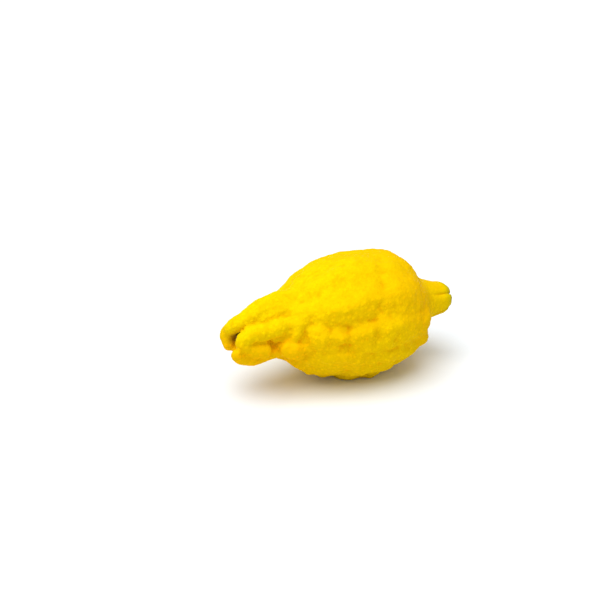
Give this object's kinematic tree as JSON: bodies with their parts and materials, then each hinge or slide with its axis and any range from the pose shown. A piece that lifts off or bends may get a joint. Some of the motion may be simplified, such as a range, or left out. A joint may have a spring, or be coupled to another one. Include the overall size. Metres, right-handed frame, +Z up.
{
  "type": "citron fruit",
  "caption": "Whole ripe citron lying on its side: bumpy yellow rind, a knuckled neck of fused fingers round a cut stem stub, and a grooved nipple with a scar.",
  "frame": {"origin": "middle of the fruit's underside, on the surface that it lies on", "axes": "+X along the fruit from its neck to its nipple, +Z up"},
  "size_m": [0.1956, 0.1006, 0.0963],
  "materials": {
    "rind": "waxy citrus rind with fine oil-gland pits, satin sheen",
    "stem_wood": "dry, cut stem stub with a brown-green collar, matte"
  },
  "bodies": {
    "root": {"fruit": "rind", "stem": "stem_wood"}
  },
  "joints": []
}
